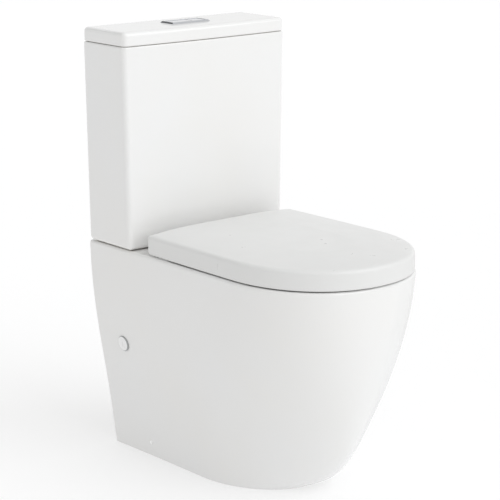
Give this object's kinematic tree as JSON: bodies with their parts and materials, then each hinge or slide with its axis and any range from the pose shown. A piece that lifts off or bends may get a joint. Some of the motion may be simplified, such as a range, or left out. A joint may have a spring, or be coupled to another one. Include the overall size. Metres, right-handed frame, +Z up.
{
  "type": "close coupled toilet",
  "caption": "Floor-standing close coupled toilet: skirted back-to-wall pan, bolted-on cistern with push button, wrap-over hinged seat and lid.",
  "frame": {"origin": "on the floor, under the middle of the overall box", "axes": "+Z up, -Y towards the front of the pan, +Y towards the wall it stands against"},
  "size_m": [0.3798, 0.6, 0.813],
  "materials": {
    "glazed_ceramic": "white gloss glaze on vitreous china",
    "seat_plastic": "white moulded thermoset, low gloss",
    "cap_plastic": "white moulded",
    "chrome": "bright chrome plate",
    "steel": "stainless, as turned",
    "brass": "plain",
    "rubber": "matt black",
    "valve_plastic": "white moulded",
    "accent_plastic": "blue moulded"
  },
  "bodies": {
    "root": {"pan_skirt": "glazed_ceramic", "pan_bowl": "glazed_ceramic", "pan_outlet": "glazed_ceramic", "side_access_caps": "cap_plastic", "floor_brackets": "valve_plastic", "bracket_screws": "steel", "screw_caps": "cap_plastic", "cistern_body": "glazed_ceramic", "coupling_gasket": "rubber", "coupling_bolts": "steel", "coupling_rubber_washers": "rubber", "coupling_metal_washers": "steel", "coupling_wing_nuts": "brass", "flush_valve_gasket": "rubber", "flush_valve_base": "valve_plastic", "flush_valve_locknut": "accent_plastic", "flush_valve_tower": "valve_plastic", "flush_lever_pin": "steel", "fill_valve_gasket": "rubber", "fill_valve_body": "valve_plastic", "fill_valve_locknut": "accent_plastic", "fill_valve_head": "valve_plastic", "float_lever_pin": "steel", "hinge_posts": "chrome", "hinge_base_covers": "chrome", "hinge_pins": "steel", "hinge_bolts": "steel", "hinge_bushes": "rubber", "hinge_wing_nuts": "accent_plastic"},
    "cistern_cover": {"cistern_lid": "glazed_ceramic", "lid_rest_pads": "rubber", "button_housing": "chrome", "button_clamp_bridge": "valve_plastic", "button_nut": "accent_plastic", "full_flush_spring": "steel", "half_flush_spring": "steel"},
    "full_flush_button": {"full_flush_key": "chrome", "full_flush_rod": "accent_plastic"},
    "half_flush_button": {"half_flush_key": "chrome", "half_flush_rod": "accent_plastic"},
    "valve_tube": {"overflow_tube": "valve_plastic", "flush_valve_seal": "rubber"},
    "valve_lever": {"flush_lever": "accent_plastic"},
    "half_plunger": {"half_flush_plunger": "accent_plastic"},
    "float_cup": {"fill_float": "accent_plastic"},
    "float_arm": {"float_lever": "accent_plastic"},
    "seat_ring_body": {"seat_ring": "seat_plastic", "ring_buffers": "rubber"},
    "seat_lid_body": {"seat_lid": "seat_plastic", "lid_buffers": "rubber"}
  },
  "joints": [
    {"name": "cistern_lid_lift", "type": "slide", "parent": "root", "child": "cistern_cover", "axis": [0, 0, 1], "range_m": [0, 0.12]},
    {"name": "full_flush_press", "type": "slide", "parent": "cistern_cover", "child": "full_flush_button", "axis": [0, 0, -1], "range_m": [0, 0.006], "stiffness_N_per_m": 400, "springref_m": -0.002, "deforming": ["full_flush_spring"]},
    {"name": "half_flush_press", "type": "slide", "parent": "cistern_cover", "child": "half_flush_button", "axis": [0, 0, -1], "range_m": [0, 0.006], "stiffness_N_per_m": 400, "springref_m": -0.002, "deforming": ["half_flush_spring"]},
    {"name": "valve_tube_lift", "type": "slide", "parent": "root", "child": "valve_tube", "axis": [0, 0, 1], "range_m": [0, 0.01023]},
    {"name": "flush_lever_rock", "type": "hinge", "parent": "root", "child": "valve_lever", "pos_m": [-0.02, 0.237, 0.714], "axis": [0, -1, 0], "range_deg": [0, 29.3]},
    {"name": "half_plunger_press", "type": "slide", "parent": "root", "child": "half_plunger", "axis": [0, 0, -1], "range_m": [0, 0.0061]},
    {"name": "float_rise", "type": "slide", "parent": "root", "child": "float_cup", "axis": [0, 0, 1], "range_m": [0, 0.014]},
    {"name": "float_lever_rock", "type": "hinge", "parent": "root", "child": "float_arm", "pos_m": [0.126, 0.237, 0.7272], "axis": [0, -1, 0], "range_deg": [0, 28.3]},
    {"name": "seat_ring_hinge", "type": "hinge", "parent": "root", "child": "seat_ring_body", "pos_m": [0, 0.117, 0.43], "axis": [1, 0, 0], "range_deg": [-92, 0]},
    {"name": "seat_lid_hinge", "type": "hinge", "parent": "seat_ring_body", "child": "seat_lid_body", "pos_m": [0, 0.117, 0.43], "axis": [-1, 0, 0], "range_deg": [0, 93]}
  ],
  "couplings": [
    {"joint": "valve_tube_lift", "follows": "full_flush_press", "ratio": 1.6667},
    {"joint": "flush_lever_rock", "follows": "full_flush_press", "rad_per_m": 83.333},
    {"joint": "half_plunger_press", "follows": "half_flush_press", "ratio": 1},
    {"joint": "float_lever_rock", "follows": "float_rise", "rad_per_m": 35}
  ]
}
